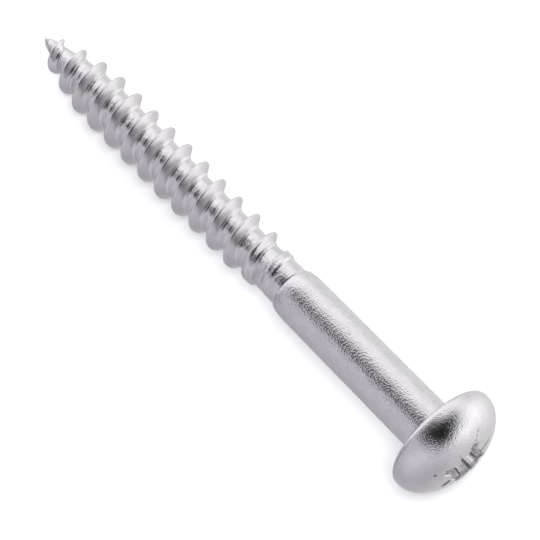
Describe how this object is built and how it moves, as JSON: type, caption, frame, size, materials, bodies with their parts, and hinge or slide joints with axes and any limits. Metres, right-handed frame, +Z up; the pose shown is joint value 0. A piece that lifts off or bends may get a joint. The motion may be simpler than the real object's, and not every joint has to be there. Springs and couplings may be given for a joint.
{
  "type": "round head wood screw",
  "caption": "Stainless steel round head wood screw with a cross recess, a plain shank and a coarse thread that runs out to a gimlet point.",
  "frame": {"origin": "middle of the bounding box on the flat surface that the screw lies on", "axes": "+X from the tip to the head along the surface, +Z up; the screw's own axis rises 3.35 degrees towards the head, because the head rim is wider than the thread"},
  "size_m": [0.0534, 0.01, 0.01],
  "materials": {
    "stainless_steel": "tumbled satin, slightly grainy"
  },
  "bodies": {
    "root": {"wood_screw": "stainless_steel"}
  },
  "joints": []
}
